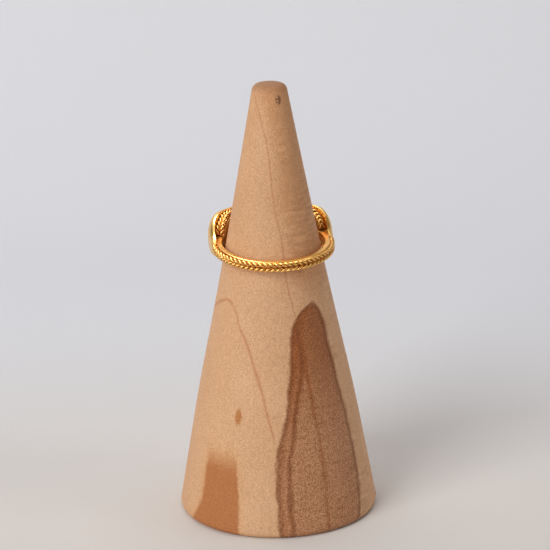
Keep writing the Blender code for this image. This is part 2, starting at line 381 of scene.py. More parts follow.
start_clean()
reach = cone_radius(CONE_BASE_ROUNDING)
bpy.ops.mesh.primitive_circle_add(vertices=CONE_FLUTES, radius=reach, fill_type="NGON", location=(0, 0, 0))
cone = bpy.context.object
cone.name = "turned_cone"
bpy.ops.object.mode_set(mode="EDIT")
bpy.ops.mesh.select_all(action="SELECT")
side_top = CONE_HEIGHT - CONE_TOP_ROUNDING
heights = [CONE_BASE_ROUNDING + (side_top - CONE_BASE_ROUNDING) * k / CONE_ROWS for k in range(CONE_ROWS + 1)]
height = 0.0
for next_height in heights + [CONE_HEIGHT]:
    wanted = cone_radius(min(next_height, side_top))
    bpy.ops.mesh.extrude_region_move(TRANSFORM_OT_translate={"value": (0.0, 0.0, next_height - height)})
    bpy.ops.transform.resize(value=(wanted / reach, wanted / reach, 1.0),
                             center_override=(0.0, 0.0, next_height))
    height, reach = next_height, wanted
face_outwards()
pick_edges(cone, lambda place: place.z > CONE_HEIGHT - TOUCHING)
bpy.ops.mesh.bevel(offset=BEVEL_SHARE * CONE_TOP_ROUNDING, segments=TIP_SEGMENTS, affect="EDGES")
pick_edges(cone, lambda place: place.z < TOUCHING)
bpy.ops.mesh.bevel(offset=BEVEL_SHARE * CONE_BASE_ROUNDING, segments=FOOT_SEGMENTS, affect="EDGES")
bpy.ops.object.mode_set(mode="OBJECT")
bpy.ops.object.shade_smooth_by_angle(angle=CONE_SHADING)
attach(cone, "root")
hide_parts("ring_cone")
report(cone)

# %% [markdown]
# ## Where the ring sits
# A ring slides down a cone until it jams, and its heavy head tips it a little. The seat is found by halving:
# at the right height the shank in front and the head behind clear the wood equally. One matrix then carries
# the ring's own frame, with the finger's axis up and the head's middle at +Y, to its place on the cone.

# %% Sizes of the ring and its place
FINGER_RADIUS = 8.30 * MM
BAND_THICKNESS = 0.85 * MM
BAND_WIDTH = 1.50 * MM
BAND_ROUNDING = 0.15 * MM
SHANK_WIRE = 0.74 * MM
SHANK_LAY = 1.75 * MM
GALLERY_WIRE = 0.62 * MM
GALLERY_LAY = 1.44 * MM
WIRE_GAP = 0.05 * MM
HEAD_END_ANGLE = 88.0
HEAD_RIM_HEIGHT = 3.80 * MM
HEAD_DOME_HEIGHT = 3.95 * MM
HEAD_RISE = 3.55 * MM
HEAD_BELLY = 0.10
BELLY_OVERHANG = 0.60 * MM
HEAD_ROUNDNESS = 2.2
TONGUE_WIDTH = 1.50 * MM
RIM_GROOVE = 0.10 * MM
RING_CLEARANCE = 0.27 * MM
RING_SHIFT_X = 0.10 * MM
RING_TILT = math.radians(6.0)
RING_TURN = math.radians(7.0)
RING_SIDE_LEAN = math.radians(0.5)
BAND_RADIUS = FINGER_RADIUS + BAND_THICKNESS
BAND_EDGE = BAND_WIDTH / 2
SHANK_WIRE_RADIUS = BAND_RADIUS + WIRE_GAP + SHANK_WIRE / 2
SHANK_WIRE_HEIGHT = (SHANK_WIRE + WIRE_GAP) / 2
SHANK_START = math.radians(HEAD_END_ANGLE) + WIRE_GAP * 2 / SHANK_WIRE_RADIUS
INNER_WIRE_RADIUS = FINGER_RADIUS + WIRE_GAP / 2 + GALLERY_WIRE / 2
OUTER_WIRE_RADIUS = INNER_WIRE_RADIUS + GALLERY_WIRE + WIRE_GAP
RIM_RADIUS = OUTER_WIRE_RADIUS + GALLERY_WIRE / 2 + WIRE_GAP
BORDER_RADIUS = (INNER_WIRE_RADIUS + OUTER_WIRE_RADIUS) / 2
HALVINGS = 60


def ring_seat():
    """Height of the ring's middle, and how far it lies to the back when front and head clear equally."""
    sine, cosine = math.sin(RING_TILT), math.cos(RING_TILT)
    low, high = 0.0, CONE_HEIGHT
    for _ in range(HALVINGS):
        seat = (low + high) / 2
        at_shank = cone_radius(seat - FINGER_RADIUS * sine - BAND_EDGE * cosine)
        at_head = cone_radius(seat + FINGER_RADIUS * sine - HEAD_RIM_HEIGHT * cosine)
        room_shank = FINGER_RADIUS * cosine - BAND_EDGE * sine - at_shank
        room_head = FINGER_RADIUS * cosine + HEAD_RIM_HEIGHT * sine - at_head
        if room_shank + room_head > 2 * RING_CLEARANCE:
            high = seat
        else:
            low = seat
    return seat, (room_shank - room_head) / 2


seat_height, seat_aside = ring_seat()
tipped = Matrix.Rotation(RING_SIDE_LEAN, 4, "Y") @ Matrix.Rotation(RING_TILT, 4, "X")
ring_place = Matrix.Translation((RING_SHIFT_X, seat_aside, seat_height)) @ tipped
ring_place = ring_place @ Matrix.Rotation(RING_TURN, 4, "Z")
print("the ring sits", round(seat_height / MM, 3), "mm up the cone")


def on_ring(radius, angle, height):
    """A point in the ring's own frame; the angle runs from the head's middle towards +X."""
    return Vector((radius * math.sin(angle), radius * math.cos(angle), height))


# %% [markdown]
# ## The head's outline
# The head is a wide lozenge of sheet gold bent round the finger, domed up on the outside. It narrows towards
# each end to a tongue that runs onto the band. Fifteen sections describe it, as shares of its few real
# sizes. The light on a polished dome shows every change of curvature, so the curve through the sections is
# also averaged over about two degrees, as a jeweller's burnisher would do.

# %% Sections of the head
HEAD_SECTIONS = (
    # angle, rim, dome, rise
    (0.000, 1.000, 0.962, 0.950),
    (0.250, 1.000, 0.962, 0.955),
    (0.420, 1.000, 0.970, 0.975),
    (0.510, 1.000, 0.985, 0.995),
    (0.560, 0.990, 0.995, 1.000),
    (0.608, 0.945, 0.990, 0.985),
    (0.647, 0.870, 0.958, 0.958),
    (0.686, 0.785, 0.900, 0.915),
    (0.718, 0.690, 0.835, 0.868),
    (0.751, 0.553, 0.752, 0.802),
    (0.773, 0.408, 0.690, 0.760),
    (0.797, 0.126, 0.608, 0.714),
    (0.860, 0.040, 0.395, 0.600),
    (0.930, 0.030, 0.250, 0.520),
    (1.000, 0.020, 0.180, 0.450),
)
BURNISHED = math.radians(0.6)
BURNISH_WEIGHTS = ((-2, 1), (-1, 4), (0, 6), (1, 4), (2, 1))
BORDER_STEPS = 176


def head_share(angle, column):
    """One column of the table at an angle from the head's middle, averaged over about two degrees."""
    rows = [(row[0], row[column]) for row in HEAD_SECTIONS]
    total = 0.0
    for shift, weight in BURNISH_WEIGHTS:
        share = abs(angle + shift * BURNISHED) / math.radians(HEAD_END_ANGLE)
        total += weight * smooth_table(rows, share)
    return total / sum(weight for shift, weight in BURNISH_WEIGHTS)


border = []
for k in range(BORDER_STEPS + 1):
    border_angle = math.radians(HEAD_END_ANGLE) * k / BORDER_STEPS
    border.append((border_angle * BORDER_RADIUS, HEAD_RIM_HEIGHT * head_share(border_angle, 1)))
print("the border is", round(border[-1][0] / MM, 2), "mm long from the head's middle to its end")


def inset_curve(points, inset):
    """The same flat curve moved square to itself towards the middle of the head."""
    moved = []
    for k, (along, height) in enumerate(points):
        before, after = points[max(k - 1, 0)], points[min(k + 1, len(points) - 1)]
        run, rise = after[0] - before[0], after[1] - before[1]
        size = math.hypot(run, rise)
        moved.append((along + inset * rise / size, height - inset * run / size))
    return moved


def height_at(points, along):
    """Height of a flat curve at a length along the ring, or zero past its end."""
    if along <= points[0][0]:
        return points[0][1]
    for (a, b), (c, d) in zip(points, points[1:]):
        if a <= along <= c and c > a:
            return b + (d - b) * (along - a) / (c - a)
    return 0.0


wall_line = inset_curve(border, GALLERY_WIRE + 2 * WIRE_GAP)

# %% [markdown]
# ## Band and head in one piece
# Band and head are soldered into one piece of gold, so they are one mesh. Its section changes all the way
# round: a small rectangle with soft edges on the shank, a low arch on the head. A spin makes a ring of
# one section, so we spin the shank's section once round the finger, and each vertex remembers which point
# of the section it is. Then every station is drawn out to the section that belongs to its angle. Towards
# the tongue the lip under the dome comes in from the trim wires to the band, slowly, along a neck.

# %% One section of band or head
CORNER_STEPS = 4
BELLY_STEPS = 7
FACE_STEPS = 11
NECK_START = math.radians(65.0) * BORDER_RADIUS
NECK_LENGTH = 2.8 * MM


def arc(centre, size, start, end, steps):
    """Points of a round corner, in degrees from the outward direction, both ends included."""
    points = []
    for k in range(steps + 1):
        turn = math.radians(start + (end - start) * k / steps)
        points.append((centre[0] + size * math.cos(turn), centre[1] + size * math.sin(turn)))
    return points


def shank_outline():
    """Radius and height, from the middle of the finger side, up and over to the middle of the outer face."""
    c = BAND_ROUNDING
    points = [(FINGER_RADIUS, 0.0)]
    points += arc((FINGER_RADIUS + c, BAND_EDGE - c), c, 180, 90, CORNER_STEPS)
    side = BELLY_STEPS + 3 - (CORNER_STEPS + 1)
    for k in range(side):
        points.append((FINGER_RADIUS + c + (BAND_THICKNESS - 2 * c) * (k + 1) / (side + 1), BAND_EDGE))
    points += arc((BAND_RADIUS - c, BAND_EDGE - c), c, 90, 0, CORNER_STEPS)
    for k in range(1, FACE_STEPS + 1):
        points.append((BAND_RADIUS, (BAND_EDGE - c) * (1 - k / FACE_STEPS)))
    return points


def head_outline(angle, lowered=0.0):
    """The same number of points for the head; lowered brings the dome down at the tongue's soft end."""
    c, g = BAND_ROUNDING, RIM_GROOVE
    along = abs(angle) * BORDER_RADIUS
    rim_line = height_at(border, along)
    rim = max(rim_line, TONGUE_WIDTH / 2)
    wall = max(height_at(wall_line, along), BAND_EDGE)
    dome = max(HEAD_DOME_HEIGHT * head_share(angle, 2), rim)
    face = FINGER_RADIUS + HEAD_RISE * head_share(angle, 3) - lowered
    past = min(max((along - NECK_START) / NECK_LENGTH, 0.0), 1.0)
    ease = 1 - past * past * (3 - 2 * past)
    seat = BAND_RADIUS + (RIM_RADIUS - BAND_RADIUS) * ease
    lip = seat + g
    belly = lip + (face - lip) * HEAD_BELLY * min((dome - rim) / BELLY_OVERHANG, 1.0)
    points = [(FINGER_RADIUS, 0.0)]
    points += arc((FINGER_RADIUS + c, wall - c), c, 180, 90, CORNER_STEPS)
    points += [(seat - g, wall), (seat, wall - g * (1 - ease)), (lip, rim)]
    for k in range(1, BELLY_STEPS + 1):
        t = math.pi / 2 * k / BELLY_STEPS
        points.append((belly - (belly - lip) * math.cos(t), rim + (dome - rim) * math.sin(t)))
    for k in range(1, FACE_STEPS + 1):
        t = math.pi / 2 * k / FACE_STEPS
        height = dome * math.cos(t) ** (2 / HEAD_ROUNDNESS) if k < FACE_STEPS else 0.0
        points.append((belly + (face - belly) * math.sin(t) ** (2 / HEAD_ROUNDNESS), height))
    return points


print("a section has", len(shank_outline()), "and", len(head_outline(0.0)), "points on its upper half")

# %% Stations round the ring
TONGUE_ROUND = 0.14 * MM
TONGUE_STATIONS = 4
TONGUE_GAP = 0.05
HEAD_STEP = 1.0
SHANK_STEP = 2.0


def stations():
    """Half a turn of (angle, lowering): the head, the tongue's rounded end, and the shank (lowering None)."""
    turn = math.degrees(TONGUE_ROUND / (BAND_RADIUS + HEAD_RISE / 4))
    half = [(k * HEAD_STEP, 0.0) for k in range(int((HEAD_END_ANGLE - turn) / HEAD_STEP) + 1)]
    for k in range(TONGUE_STATIONS):
        t = math.pi / 2 * k / (TONGUE_STATIONS - 1)
        half.append((HEAD_END_ANGLE - turn * (1 - math.sin(t)), TONGUE_ROUND * (1 - math.cos(t))))
    first = HEAD_END_ANGLE + TONGUE_GAP
    half.append((first, None))
    count = int((180 - HEAD_END_ANGLE) / SHANK_STEP)
    for k in range(1, count + 1):
        half.append((first + (180 - first) * k / count, None))
    return [(-angle, lowering) for angle, lowering in reversed(half[1:-1])] + half


ring_stations = stations()
print(len(ring_stations), "stations round the ring")

# %% Spin the band, then draw out the head
MERGED_BELOW = 0.0005 * MM
BODY_SHADING = math.radians(38)

start_clean()
upper = shank_outline()
outline = upper + [(radius, -height) for radius, height in reversed(upper[1:-1])]
bpy.ops.mesh.primitive_circle_add(vertices=len(outline), radius=BAND_EDGE, fill_type="NOTHING",
                                  location=(0, 0, 0))
body = bpy.context.object
body.name = "band_and_head"
for corner, (radius, height) in zip(body.data.vertices, outline):
    corner.co = (0.0, -radius, height)
order = body.data.attributes.new("place_in_section", "INT", "POINT")
order.data.foreach_set("value", list(range(len(outline))))
bpy.ops.object.mode_set(mode="EDIT")
bpy.ops.mesh.select_all(action="SELECT")
bpy.ops.mesh.spin(steps=len(ring_stations), angle=2 * math.pi, center=(0, 0, 0), axis=(0, 0, 1),
                  use_auto_merge=True)
bpy.ops.mesh.select_all(action="SELECT")
bpy.ops.mesh.remove_doubles(threshold=MERGED_BELOW)
bpy.ops.object.mode_set(mode="OBJECT")

places = [corner.value for corner in body.data.attributes["place_in_section"].data]
outlines = []
for angle, lowering in ring_stations:
    half = shank_outline() if lowering is None else head_outline(math.radians(angle), lowering)
    outlines.append(half + [(radius, -height) for radius, height in reversed(half[1:-1])])
step = 2 * math.pi / len(ring_stations)
for corner, place in zip(body.data.vertices, places):
    station = round(math.atan2(corner.co.x, -corner.co.y) / step) % len(ring_stations)
    radius, height = outlines[station][place]
    corner.co = ring_place @ on_ring(radius, math.radians(ring_stations[station][0]), height)
body.data.update()
body.data.attributes.remove(body.data.attributes["place_in_section"])
bpy.ops.object.mode_set(mode="EDIT")
face_outwards()
bpy.ops.object.mode_set(mode="OBJECT")
bpy.ops.object.shade_smooth_by_angle(angle=BODY_SHADING)
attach(body, "root")
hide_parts("ring_body")
report(body)

# %% [markdown]
# ## Twisted wire
# Each trim wire is two round wires twisted together, like a rope of two strands. A strand is a round section
# that climbs as it turns, which is what the Screw modifier does. The section stands upright while the strand
# runs at a slant, so the circle is first stretched along the rope. A cut at each end and a second strand
# half a turn on make a straight rope. The Curve modifier then lays it along its path on the ring. Before
# bending, each vertex notes how far it lies from the rope's middle, so the metal can darken in the hollows.

# %% A straight rope
STRAND_SIDES = 14
TWIST_STEPS = 26
CUT_THRESHOLD = 0.00001 * MM
ROPE_SHADING = math.radians(50)


def straight_rope(name, wire, lay, length, left_handed):
    """Two strands from z = 0 to z = length, twisted round the Z axis."""
    strand = wire / 4
    slant = math.atan(2 * math.pi * strand / lay)
    start_clean()
    bpy.ops.mesh.primitive_circle_add(vertices=STRAND_SIDES, radius=strand, fill_type="NOTHING",
                                      location=(strand, 0, 0), rotation=(math.pi / 2, 0, 0))
    rope = bpy.context.object
    rope.name = name
    bpy.ops.object.transform_apply(location=True, rotation=True, scale=True)
    bpy.ops.object.mode_set(mode="EDIT")
    bpy.ops.mesh.select_all(action="SELECT")
    bpy.ops.transform.resize(value=(1, 1, 1 / math.sin(slant)), center_override=(strand, 0, 0))
    bpy.ops.transform.translate(value=(0, 0, -lay))
    bpy.ops.object.mode_set(mode="OBJECT")
    twist = rope.modifiers.new("twist", "SCREW")
    twist.screw_offset = lay
    twist.iterations = math.ceil(length / lay) + 2
    twist.steps = TWIST_STEPS
    twist.render_steps = TWIST_STEPS
    twist.use_normal_calculate = True
    bpy.ops.object.modifier_apply(modifier="twist")
    bpy.ops.object.mode_set(mode="EDIT")
    bpy.ops.mesh.select_all(action="SELECT")
    bpy.ops.mesh.bisect(plane_co=(0, 0, 0), plane_no=(0, 0, 1), use_fill=True, clear_inner=True,
                        threshold=CUT_THRESHOLD)
    bpy.ops.mesh.select_all(action="SELECT")
    bpy.ops.mesh.bisect(plane_co=(0, 0, length), plane_no=(0, 0, 1), use_fill=True, clear_outer=True,
                        threshold=CUT_THRESHOLD)
    bpy.ops.mesh.select_all(action="SELECT")
    bpy.ops.mesh.duplicate()
    bpy.ops.transform.rotate(value=math.pi, orient_axis="Z", center_override=(0, 0, 0))
    if left_handed:
        bpy.ops.mesh.select_all(action="SELECT")
        bpy.ops.transform.resize(value=(-1, 1, 1), center_override=(0, 0, 0))
    face_outwards()
    bpy.ops.object.mode_set(mode="OBJECT")
    note = rope.data.attributes.new("crest", "FLOAT", "POINT")
    note.data.foreach_set("value", [math.hypot(v.co.x, v.co.y) / (2 * strand) for v in rope.data.vertices])
    return rope


# %% Lay a rope along a path
def lay_rope(name, wire, lay, left_handed, path):
    """A rope along points in the ring's own frame."""
    length = sum((there - here).length for here, there in zip(path, path[1:]))
    rope = straight_rope(name, wire, lay, length, left_handed)
    guide_data = bpy.data.curves.new("guide", "CURVE")
    guide_data.dimensions = "3D"
    line = guide_data.splines.new("POLY")
    line.points.add(len(path) - 1)
    for point, place in zip(line.points, path):
        point.co = (*place, 1.0)
    guide = bpy.data.objects.new("guide", guide_data)
    bpy.context.scene.collection.objects.link(guide)
    bend = rope.modifiers.new("along the ring", "CURVE")
    bend.object = guide
    bend.deform_axis = "POS_Z"
    make_active(rope)
    bpy.ops.object.modifier_apply(modifier="along the ring")
    bpy.data.objects.remove(guide)
    bpy.ops.object.shade_smooth_by_angle(angle=ROPE_SHADING)
    print(name, "is", round(length / MM, 2), "mm long")
    return rope


def mirrored(rope, name):
    """The same rope on the ring's lower edge, turned the other way as in a mirror."""
    copy = rope.copy()
    copy.data = rope.data.copy()
    copy.name = name
    bpy.context.scene.collection.objects.link(copy)
    make_active(copy)
    bpy.ops.object.mode_set(mode="EDIT")
    bpy.ops.mesh.select_all(action="SELECT")
    bpy.ops.transform.resize(value=(1, 1, -1), center_override=(0, 0, 0))
    face_outwards()
    bpy.ops.object.mode_set(mode="OBJECT")
    return copy


# %% [markdown]
# ## Six ropes
# On the shank two ropes lie side by side and twist opposite ways, so their strands meet in a row of
# chevrons, the herringbone that the ring shows in front. Two more ropes lie under the head's border on each
# edge, again twisted opposite ways. Each pair is made on the upper edge only and mirrored for the lower one.
# The wires under the border are a little fuller than the solids and fill the room below the lip, and their
# ends run down into the band.

# %% Paths of the ropes
GALLERY_INSET = 0.25 * MM
GALLERY_OUTWARD = 0.10 * MM
GALLERY_FULLNESS = 1.12
PATH_STEPS = 240


def shank_path():
    """From the tongue at +X round the shank to the tongue at -X."""
    span = 2 * math.pi - 2 * SHANK_START
    angles = [SHANK_START + span * k / PATH_STEPS for k in range(PATH_STEPS + 1)]
    return [on_ring(SHANK_WIRE_RADIUS, angle, SHANK_WIRE_HEIGHT) for angle in angles]


def gallery_path(radius):
    """Along the border close under the rim, from one end of the head over its middle to the other."""
    flat = inset_curve(border, GALLERY_INSET)
    half = [(along / BORDER_RADIUS, height) for along, height in flat if height >= BAND_EDGE - WIRE_GAP]
    both = [(-angle, height) for angle, height in reversed(half[1:])] + half
    return [on_ring(radius, angle, height) for angle, height in both]


# %% Make the ropes and put them on the ring
ropes = {}
masters = (
    # upper piece, lower piece, wire, lay, left-handed, path
    ("shank_twist_upper", "shank_twist_lower", SHANK_WIRE, SHANK_LAY, False, shank_path()),
    ("gallery_upper_inner", "gallery_lower_inner", GALLERY_WIRE * GALLERY_FULLNESS, GALLERY_LAY, False,
     gallery_path(INNER_WIRE_RADIUS + GALLERY_OUTWARD)),
    ("gallery_upper_outer", "gallery_lower_outer", GALLERY_WIRE * GALLERY_FULLNESS, GALLERY_LAY, True,
     gallery_path(OUTER_WIRE_RADIUS + GALLERY_OUTWARD)),
)
for upper_node, lower_node, wire, lay, left_handed, path in masters:
    rope = lay_rope("rope_" + upper_node, wire, lay, left_handed, path)
    ropes[upper_node] = rope
    ropes[lower_node] = mirrored(rope, "rope_" + lower_node)
for node, rope in ropes.items():
    rope.data.transform(ring_place)
    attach(rope, "root")
    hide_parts(node)
    report(rope)

# %% [markdown]
# ## A glint on the gold
# Polished gold needs one bright thing to mirror. A small pane above the ring and a little to its left puts
# the white glint on the head's left end. It would also light the paper near it, so light linking limits it
# to the gold: the lamp gets a collection of receivers, and only those pieces see it.

# %% A pane that only the gold sees
GLINT = ("glint_pane", (-0.13, 0.05, 0.32), (0.09, 0.11), 0.85, (1.0, 1.0, 1.0))
glint = add_lamp(*GLINT)
glint.visible_camera = False
gold_pieces = bpy.data.collections.new("gold_pieces")
for piece in (body, *ropes.values()):
    gold_pieces.objects.link(piece)
glint.light_linking.receiver_collection = gold_pieces

# %% [markdown]
# ## Finishes
# ### Worn gold
# High-carat gold is soft: it is never a perfect mirror. Its surface has a slow unevenness from the hammer
# and the finger, and fine scratches, and its colour is a little deeper where polish has not reached. Both
# gold finishes need this, so it is a node group with its own inputs: a colour for the bright metal and one
# for the deep metal, how deep the tone is, how dull the polish is, and how close together the dents lie.
# It puts out colour, roughness and height.

# %% Gold wear as a node group
PATINA = 0.35
PATINA_RANGE = (0.35, 0.75)
SCRATCH_STRETCH = (9.0, 9.0, 2.5)
SCRATCH_GLOSS = 0.22
SCRATCH_DEPTH = 0.12
DEEP_GLOSS = 0.12
PER_MM = (1 / MM, 1 / MM, 1 / MM)

wear = bpy.data.node_groups.new("gold_wear", "ShaderNodeTree")
for name, kind, default in (
    ("Bright metal", "NodeSocketColor", (0.98, 0.60, 0.19, 1.0)),
    ("Deep metal", "NodeSocketColor", (0.84, 0.43, 0.10, 1.0)),
    ("Deepness", "NodeSocketFloat", 0.0),
    ("Polish", "NodeSocketFloat", 0.18),
    ("Dents per mm", "NodeSocketFloat", 0.9),
):
    socket = wear.interface.new_socket(name=name, in_out="INPUT", socket_type=kind)
    socket.default_value = default
for name, kind in (
    ("Colour", "NodeSocketColor"),
    ("Roughness", "NodeSocketFloat"),
    ("Height", "NodeSocketFloat"),
):
    wear.interface.new_socket(name=name, in_out="OUTPUT", socket_type=kind)
wear_in = wear.nodes.new("NodeGroupInput")
wear_out = wear.nodes.new("NodeGroupOutput")
wear_place = wear.nodes.new("ShaderNodeTexCoord").outputs["Object"]
wear_mm = stretched(wear, wear_place, PER_MM)
slow = noise(wear, wear_mm, wear_in.outputs["Dents per mm"], 2.0)
fine = noise(wear, stretched(wear, wear_mm, SCRATCH_STRETCH), 1.0, 4.0, 0.65)
patina = calc(wear, "MULTIPLY", ease(wear, slow, *PATINA_RANGE), PATINA)
deep = calc(wear, "MAXIMUM", patina, wear_in.outputs["Deepness"])
plug(wear, wear_out.inputs["Colour"], blend(wear, deep, wear_in.outputs["Bright metal"],
                                            wear_in.outputs["Deep metal"]))
scratches = calc(wear, "SUBTRACT", fine, 0.5)
rough = calc(wear, "MULTIPLY_ADD", scratches, SCRATCH_GLOSS, wear_in.outputs["Polish"])
plug(wear, wear_out.inputs["Roughness"], calc(wear, "MULTIPLY_ADD", deep, DEEP_GLOSS, rough))
plug(wear, wear_out.inputs["Height"], calc(wear, "MULTIPLY_ADD", fine, SCRATCH_DEPTH, slow))
print("gold_wear has", len(wear.nodes), "nodes")

# %% Polished gold for the band and the head
DENT_STRENGTH = 0.5


def gold_material(name, polish, dents, depth):
    """A gold with the wear group: roughness, dents per mm, and the depth of the dents."""
    made = bpy.data.materials.new(name)
    made.use_nodes = True
    tree = made.node_tree
    shader = tree.nodes["Principled BSDF"]
    shader.inputs["Metallic"].default_value = 1.0
    group = tree.nodes.new("ShaderNodeGroup")
    group.node_tree = wear
    group.inputs["Polish"].default_value = polish
    group.inputs["Dents per mm"].default_value = dents
    bump = add(tree, "ShaderNodeBump", Height=group.outputs["Height"], Strength=DENT_STRENGTH, Distance=depth)
    plug(tree, shader.inputs["Base Color"], group.outputs["Colour"])
    plug(tree, shader.inputs["Roughness"], group.outputs["Roughness"])
    plug(tree, shader.inputs["Normal"], bump.outputs[0])
    return made, group


polished = gold_material("polished_gold", polish=0.29, dents=0.7, depth=0.03 * MM)[0]
body.data.materials.append(polished)
print(polished.name, "is on", body.name)

# %% [markdown]
# ### Twisted gold
# The strands are the same metal, but no cloth gets between them: crests are bright and the hollows keep
# a deep, brownish tone. The attribute that each rope noted while it was still straight says how far a point
# is from the rope's middle, and a soft step turns it into the depth of the tone.

# %% Twisted gold for the ropes
CREST_SHARE = 0.80
HOLLOW_SHARE = 0.45
TWISTED_DEEP = (0.64, 0.32, 0.08, 1.0)
TWISTED_BRIGHT = (0.96, 0.56, 0.17, 1.0)

twisted, twisted_wear = gold_material("twisted_gold", polish=0.34, dents=1.6, depth=0.015 * MM)
crest = add(twisted.node_tree, "ShaderNodeAttribute")
crest.attribute_name = "crest"
hollow = ease(twisted.node_tree, crest.outputs["Fac"], CREST_SHARE, HOLLOW_SHARE)
plug(twisted.node_tree, twisted_wear.inputs["Deepness"], hollow)
twisted_wear.inputs["Deep metal"].default_value = TWISTED_DEEP
twisted_wear.inputs["Bright metal"].default_value = TWISTED_BRIGHT
for rope in ropes.values():
    rope.data.materials.append(twisted)
print(twisted.name, "is on", len(ropes), "ropes")

# %% [markdown]
# ### The wood
# The cone is one turned block, so its figure is cut from the wood's layers. A plain noise would not give the
# long tongue of dark heartwood on the right, the thin arch of a growth line on the left, the orange patch at
# the foot and the small fleck above it, or the upper growth line with the toasted wood beside it and the
# small knot near the tip. So each of them is drawn: the material works out the angle round the cone and the
# height from the Object coordinates, and a curve node says at which angle an edge lies for each height. What
# is left, the speckle, the fibres and the cross figure, comes from noise.

# %% Angle round the cone and height
wood = bpy.data.materials.new("turned_wood")
wood.use_nodes = True
tree = wood.node_tree
wood_shader = tree.nodes["Principled BSDF"]
object_place = tree.nodes.new("ShaderNodeTexCoord").outputs["Object"]
in_mm = stretched(tree, object_place, PER_MM)
split = add(tree, "ShaderNodeSeparateXYZ", Vector=in_mm)
x_mm, y_mm, z_mm = split.outputs
angle_rad = calc(tree, "ARCTAN2", x_mm, calc(tree, "MULTIPLY", y_mm, -1.0))
angle_deg = calc(tree, "MULTIPLY", angle_rad, 180 / math.pi)
radius_mm = calc(tree, "SQRT", calc(tree, "ADD", calc(tree, "MULTIPLY", x_mm, x_mm),
                                    calc(tree, "MULTIPLY", y_mm, y_mm)))
# Edges in wood are never ruled, so the angle and the height waver a little before an edge is drawn.
waver = calc(tree, "SUBTRACT", noise(tree, stretched(tree, in_mm, (1.0, 1.0, 0.45)), 0.9, 4.0, 0.6), 0.5)
WAVER_DEGREES = 5.0
WAVER_MM = 1.2
wavering_angle = calc(tree, "MULTIPLY_ADD", waver, WAVER_DEGREES, angle_deg)
wavering_height = calc(tree, "MULTIPLY_ADD", waver, WAVER_MM, z_mm)
HEIGHT_MM = CONE_HEIGHT / MM
height_share = calc(tree, "DIVIDE", z_mm, HEIGHT_MM)
degrees_to_mm = calc(tree, "MULTIPLY", radius_mm, math.pi / 180)


def drawn_curve(share, rows):
    """A curve node through rows of (input share, output share)."""
    made = add(tree, "ShaderNodeFloatCurve", Value=share)
    line = made.mapping.curves[0]
    rows = sorted(rows)
    line.points[0].location = rows[0]
    line.points[1].location = rows[-1]
    for row in rows[1:-1]:
        line.points.new(*row)
    made.mapping.update()
    return made.outputs[0]


def edge_angle(rows):
    """Degrees from the front at which an edge lies, for rows of (degrees, height in mm)."""
    shares = [(height / HEIGHT_MM, (angle + 90) / 180) for angle, height in rows]
    return calc(tree, "MULTIPLY_ADD", drawn_curve(height_share, shares), 180.0, -90.0)


def mm_past(edge):
    """Millimetres along the surface from an edge to the shaded point, positive to its right."""
    return calc(tree, "MULTIPLY", calc(tree, "SUBTRACT", wavering_angle, edge), degrees_to_mm)


def line_at(distance, half_width):
    """1 on a line and 0 beyond its half width, from a distance to it."""
    return ease(tree, calc(tree, "ABSOLUTE", distance), half_width, 0.0)


def both(*masks):
    """1 only where all the masks are 1."""
    made = masks[0]
    for mask in masks[1:]:
        made = calc(tree, "MULTIPLY", made, mask)
    return made


# %% The heartwood tongue
HEART_LEFT = (
    # degrees, height
    (-0.3, 0.7), (-1.1, 5.5), (-1.7, 8.7), (-0.8, 12.9), (1.1, 15.8), (3.6, 17.6), (6.8, 20.8), (8.0, 23.3),
    (10.7, 26.4), (12.0, 30.2), (14.0, 32.9), (18.0, 34.4), (25.0, 35.7), (39.7, 37.2),
)
HEART_RIGHT = (
    # degrees, height
    (55.0, 0.8), (58.6, 3.8), (60.8, 7.4), (61.3, 11.4), (60.4, 15.6), (58.8, 20.0), (56.5, 23.9),
    (55.7, 27.5), (54.0, 29.9), (54.0, 32.5), (50.6, 35.0), (45.8, 36.6), (42.5, 37.3),
)
HEART_STREAK = ((7.8, 1.5), (7.1, 8.0), (7.9, 12.5), (10.6, 15.9), (12.8, 18.8), (16.3, 22.5), (21.5, 26.8),
                (21.0, 32.2))
HEART_VEIN = ((30.2, 7.1), (30.1, 12.6), (28.4, 18.2), (26.5, 23.4))
# The numbers in each ease say from where to where a mask rises, in mm past its edge.
from_left = mm_past(edge_angle(HEART_LEFT))
to_right = calc(tree, "MULTIPLY", mm_past(edge_angle(HEART_RIGHT)), -1.0)
under_top = ease(tree, wavering_height, 37.9, 36.0)
heart = both(ease(tree, from_left, -0.30, 0.50), ease(tree, to_right, -0.40, 0.70), under_top)
left_strip = ease(tree, from_left, 2.3, 0.6)
right_strip = ease(tree, to_right, 0.9, 0.1)
streak = line_at(mm_past(edge_angle(HEART_STREAK)), 0.65)
heart_rim = calc(tree, "MAXIMUM", line_at(calc(tree, "SUBTRACT", from_left, 0.35), 0.65),
                 line_at(calc(tree, "SUBTRACT", to_right, 0.55), 0.75))
dark_lines = calc(tree, "MAXIMUM", heart_rim, calc(tree, "MULTIPLY", streak, 0.9))
vein = line_at(mm_past(edge_angle(HEART_VEIN)), 0.6)
near_top = ease(tree, z_mm, 14.0, 33.0)
depth = 0.58
for mask, strength in (
    (left_strip, 0.20),
    (right_strip, 0.18),
    (streak, 0.24),
    (vein, 0.24),
    (near_top, 0.34),
):
    depth = calc(tree, "MULTIPLY_ADD", mask, strength, depth)
heart_depth = calc(tree, "MULTIPLY", calc(tree, "MINIMUM", depth, 1.0), heart)
print("the heartwood is drawn,", len(tree.nodes), "nodes so far")

